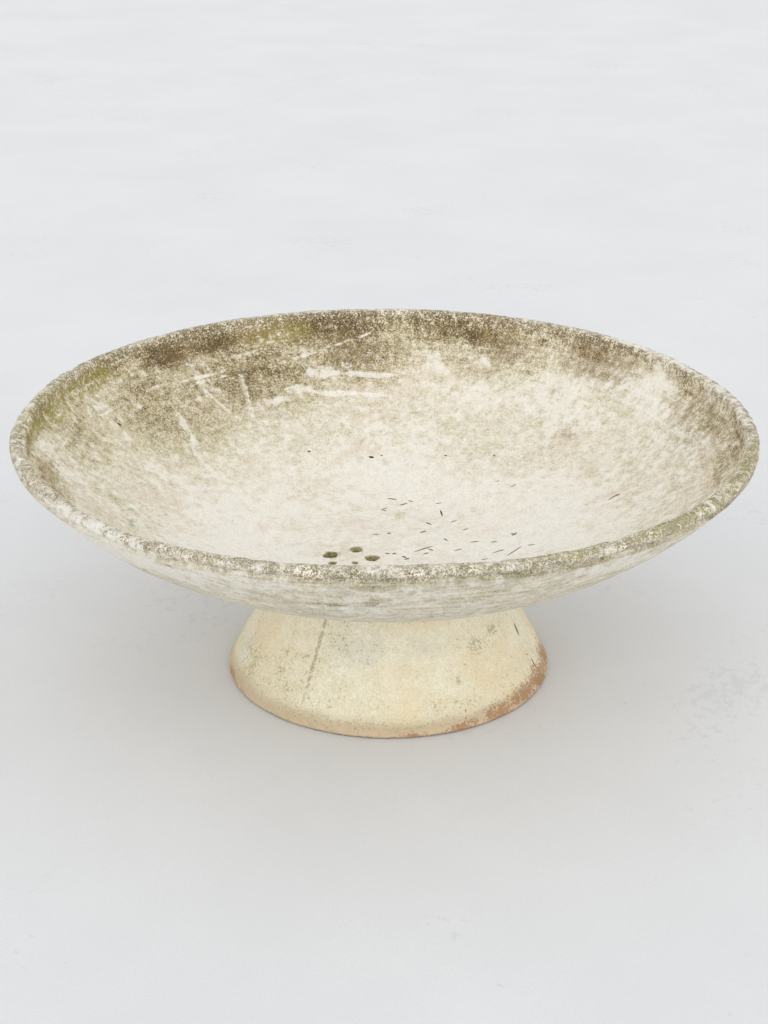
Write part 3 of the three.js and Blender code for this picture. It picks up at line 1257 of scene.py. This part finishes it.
@dataclass
class Pedestal:
    """The hollow conical pedestal that the bowl stands on.

    The sizes are in metres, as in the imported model.

    Attributes:
        off_centre: how far the pedestal stands to the right of the axis.
        around: vertices in a ring.
        slope_steps, edge_steps: points up the cone and round a rounded edge.
    """

    wall: float = 0.016
    top_plate: float = 0.016
    top_radius: float = 0.163
    top_opening_radius: float = 0.1264
    foot_round: float = 0.005
    top_edge_round: float = 0.003
    opening_bevel: float = 0.002
    foot_bevel: float = 0.001
    off_centre: float = 0.00375
    around: int = 576
    slope_steps: int = 66
    edge_steps: int = 5
    uneven: Relief = Relief(0.07, 0.0009)
    foot_wear: tuple[Relief, ...] = (Relief(0.015, 0.0007),)
    foot_chips: Chips = Chips(0.013, 0.0014, 0.35)

    marks: ClassVar[Marks] = {
        Layer.OCHRE: placed(
            (-64, 112, 60, 50), (5, 105, 40, 20, 0.7), (20, 185, 40, 12), (48, 80, 60, 60, 0.5),
        ),
        Layer.GREY: placed(
            (-15, 145, 50, 35, 0.9), (17, 150, 40, 22, 0.8), (-74, 60, 30, 30, 0.8),
        ),
        Layer.CHALK: placed(
            (-31, 44, 30, 14, 0.4), (-74, 50, 12, 10), (-20, 36, 20, 10, 0.4),
        ),
        Layer.SOIL: placed(
            (-56, 51, 34, 20), (-66, 60, 50, 40, 1.5), (-45, 75, 35, 30, 1.1),
            (-36, 110, 24, 90, 0.7), (-30, 26, 50, 12, 1.2), (-8, 20, 60, 10, 1.2),
            (10, 18, 60, 8, 1.1), (17, 46, 8, 6), (53, 36, 8, 6), (42, 130, 26, 12, 1.7),
            (54, 142, 22, 12, 1.6), (28, 83, 7, 7, 2.2), (-20, 150, 50, 30, 0.9),
            (-5, 200, 60, 20, 0.9), (30, 50, 50, 15, 0.6),
        ),
        Layer.RUST: placed(
            (8, 8, 24, 5, 0.9), (26, 10, 40, 10), (42, 14, 45, 15), (56, 18, 45, 18),
            (70, 22, 45, 22), (86, 28, 50, 26), (118, 16, 60, 12, 0.8), (-75, 10, 60, 8, 0.8),
        ),
    }
    seam: ClassVar[list[Line]] = drawn((-32.5, 35, -32.5, 222, 7))
    slits: ClassVar[list[Line]] = drawn((72.8, 118, 72.0, 100, 5), (72, 52, 71.6, 38, 3.5))

    def __post_init__(self) -> None:
        """Takes the pedestal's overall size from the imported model."""
        _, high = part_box("pedestal")
        self.height, self.foot_radius = high.z, high.x

    def outline(self) -> tuple[Section, float]:
        """The pedestal's section, from the foot up the outside and back down the hollow.

        Returns:
            The section, and the length along it at the foot's outer corner.
        """
        around = self.around
        lean = (self.foot_radius - self.top_radius) / self.height
        across = self.wall * math.hypot(1, lean)
        under_plate = self.height - self.top_plate
        facing = math.atan2(lean, 1)

        section = Section()
        section.add(self.foot_radius - across + self.foot_bevel, 0.0, around)
        reach = self.foot_round * (lean * (1 + math.sin(facing)) + math.cos(facing))
        section.line(self.foot_radius - reach, 0.0, 3, around)
        corner = section.travel()[-1]
        turn = -math.pi / 2, facing
        section.sweep(self.foot_round, self.foot_round, turn, self.edge_steps, around)
        edge = self.height - self.top_edge_round * (1 - math.sin(facing))
        section.line(self.foot_radius - lean * edge, edge, self.slope_steps, around)
        turn = facing, math.pi / 2
        section.sweep(self.top_edge_round, self.top_edge_round, turn, self.edge_steps, around)
        section.line(self.top_opening_radius + self.opening_bevel, self.height, 8, around)
        section.line(self.top_opening_radius, self.height - self.opening_bevel, 1, around)
        section.line(self.top_opening_radius, under_plate, 3, around)
        inner_top = self.foot_radius - across - lean * under_plate
        section.line(inner_top, under_plate, 2, around // 2)
        section.line(self.foot_radius - across, self.foot_bevel, 18, around // 2)
        return section, corner

    def weather(self, skin: Skin) -> None:
        """Moves the surface by what casting and wear have done to it."""
        place, up = skin.place, -skin.depth
        slope = smooth_step(up, 0.0, 0.012) * smooth_step(up, 0.225, 0.200)
        foot = smooth_step(np.abs(up - 0.006), 0.010, 0.004)
        offset = slope * self.uneven.at(place)
        offset = offset + worn(place, foot, self.foot_wear, self.foot_chips)
        skin.place = place + skin.normal * offset[:, None]
        skin.place[:, 2] = np.maximum(skin.place[:, 2], 0.0)

    def build(self) -> bpy.types.Object:
        """Makes the pedestal and dresses it."""
        section, corner = self.outline()
        skin = Skin(section, corner, flow=-1, closed=True)
        material = CreamCement().material(skin, self.seam, self.slits)
        layers = skin.layers({Side.OUTSIDE: self.marks})
        layers[Layer.UP_WALL] = -skin.depth
        self.weather(skin)
        piece = new_piece("pedestal_shell", skin.place, skin.faces, layers)
        piece.data.set_sharp_from_angle(angle=CRISP)
        piece.data.materials.append(material)
        piece.location.x = self.off_centre
        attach(piece, "pedestal")
        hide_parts("pedestal")
        return piece


@dataclass(frozen=True)
class PaleFloor:
    """A pale painted studio floor with faint clouds in it."""

    pale: Colour = tone(228, 228, 229)
    dull: Colour = tone(223, 223, 224)
    scuff: Colour = tone(214, 214, 216)

    def material(self) -> bpy.types.Material:
        """The floor's material."""
        r = Recipe(bpy.data.materials.new("pale_floor"))
        cloud = r.total((r.grain(0.5, 5, 0.6), 1.0), (r.grain(0.003, 1, 0.5), 0.9))
        colour = r.coat(self.dull, self.pale, r.fade(cloud, -0.2, 0.2))
        scuffed = r.total((r.grain(0.4, 3, 0.5), 1.2), (r.grain(0.02, 5, 0.7), 1.4))
        colour = r.coat(colour, self.scuff, r.fade(scuffed, 0.22, 0.32), 0.6)
        return r.finish(colour, 0.9, r.times(r.grain(0.004, 2, 0.6), 0.0002))


@dataclass
class Studio:
    """A pale floor, soft light from above and the camera.

    Attributes:
        camera_at: the camera's place in metres.
        pitch, swing, tilt: radians that it looks down, is turned to the left and is rolled.
        focal: the lens in units of the picture's long side.
        sensor: the camera's sensor in millimetres.
        floor_half, floor_level: half the floor's width, and its height, in metres.
        sky_low, sky_overhead: the sky's strength at the horizon and overhead.
        lamps: each light's name, bearing, height in degrees, strength and width in degrees.
    """

    camera_at: tuple[float, float, float] = (0.00375, -2.89491, 1.51832)
    pitch: float = 0.4057
    swing: float = 0.0029
    tilt: float = 0.0028
    focal: float = 1900 / 1024
    sensor: float = 36.0
    floor_half: float = 30.0
    floor_level: float = -0.0003
    sky_low: float = 1.18
    sky_overhead: float = 0.63
    daylight: Colour = tone(251, 253, 255)
    background: Colour = tone(229, 229, 230)
    lamps: tuple[tuple[str, float, float, float, float], ...] = (
        ("window_light", 12, 66, 0.46, 110),
        ("front_light", 2, 22, 0.90, 90),
    )

    def camera(self) -> None:
        """Sets up the camera at the photograph's viewing angle."""
        data = bpy.data.cameras.new("camera")
        data.sensor_width = self.sensor
        data.lens = self.focal * self.sensor
        camera = bpy.data.objects.new("camera", data)
        bpy.context.scene.collection.objects.link(camera)
        turn = Matrix.Rotation(self.swing, 4, "Z")
        turn = turn @ Matrix.Rotation(math.pi / 2 - self.pitch, 4, "X")
        turn = turn @ Matrix.Rotation(self.tilt, 4, "Z")
        camera.matrix_world = Matrix.Translation(self.camera_at) @ turn
        bpy.context.scene.camera = camera

    def floor(self) -> None:
        """Lays the floor."""
        corners = ((-1, -1), (1, -1), (1, 1), (-1, 1))
        place = [(x * self.floor_half, y * self.floor_half, self.floor_level) for x, y in corners]
        floor = new_piece("floor", np.array(place), [(0, 1, 2, 3)], {})
        floor.data.materials.append(PaleFloor().material())

    def sky(self) -> None:
        """Lights everything evenly, and shows the camera the background's own colour."""
        r = Recipe(bpy.data.worlds.new("sky"))
        bpy.context.scene.world = r.block
        path = r.add("LightPath")
        seen = path.outputs["Is Camera Ray"]
        for ray in ("Is Glossy Ray", "Is Transmission Ray"):
            seen = r.most(seen, path.outputs[ray])
        direction = r.add("TexCoord").outputs["Generated"]
        height = r.add("SeparateXYZ", {0: direction}).outputs[2]
        strength = r.times(height, self.sky_overhead - self.sky_low, self.sky_low)
        light = r.add("Background", {"Color": self.daylight, "Strength": strength}).outputs[0]
        shown = r.add("Background", {"Color": self.background}).outputs[0]
        mix = r.add("MixShader", {0: seen, 1: light, 2: shown})
        r.add("OutputWorld", {0: mix.outputs[0]})

    def lamp(self, name: str, bearing: float, height: float, strength: float, soft: float) -> None:
        """Adds a large soft light from far away.

        Args:
            name: the light's name.
            bearing: degrees from the front, + to the right, that it comes from.
            height: degrees above the horizon.
            strength: its strength.
            soft: its width in degrees, as the planter sees it.
        """
        data = bpy.data.lights.new(name, "SUN")
        data.energy = strength
        data.angle = math.radians(soft)
        lamp = bpy.data.objects.new(name, data)
        bpy.context.scene.collection.objects.link(lamp)
        turn, rise = math.radians(bearing), math.radians(height)
        towards = Vector((math.sin(turn), -math.cos(turn), 0)) * math.cos(rise)
        towards.z = math.sin(rise)
        lamp.location = towards * 5
        lamp.rotation_mode = "QUATERNION"
        lamp.rotation_quaternion = towards.to_track_quat("Z", "Y")

    def build(self) -> None:
        """Sets up the whole studio."""
        self.camera()
        self.floor()
        self.sky()
        for lamp in self.lamps:
            self.lamp(*lamp)
        bpy.context.scene.view_settings.view_transform = "Standard"


def main() -> None:
    """Builds the planter's pieces and its studio."""
    logging.basicConfig(level=logging.INFO, format="%(message)s")
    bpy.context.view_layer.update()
    Studio().build()
    for maker in (Pedestal(), Bowl()):
        piece = maker.build()
        log.info("%s: %d faces", piece.name, len(piece.data.polygons))


if __name__ == "__main__":
    main()
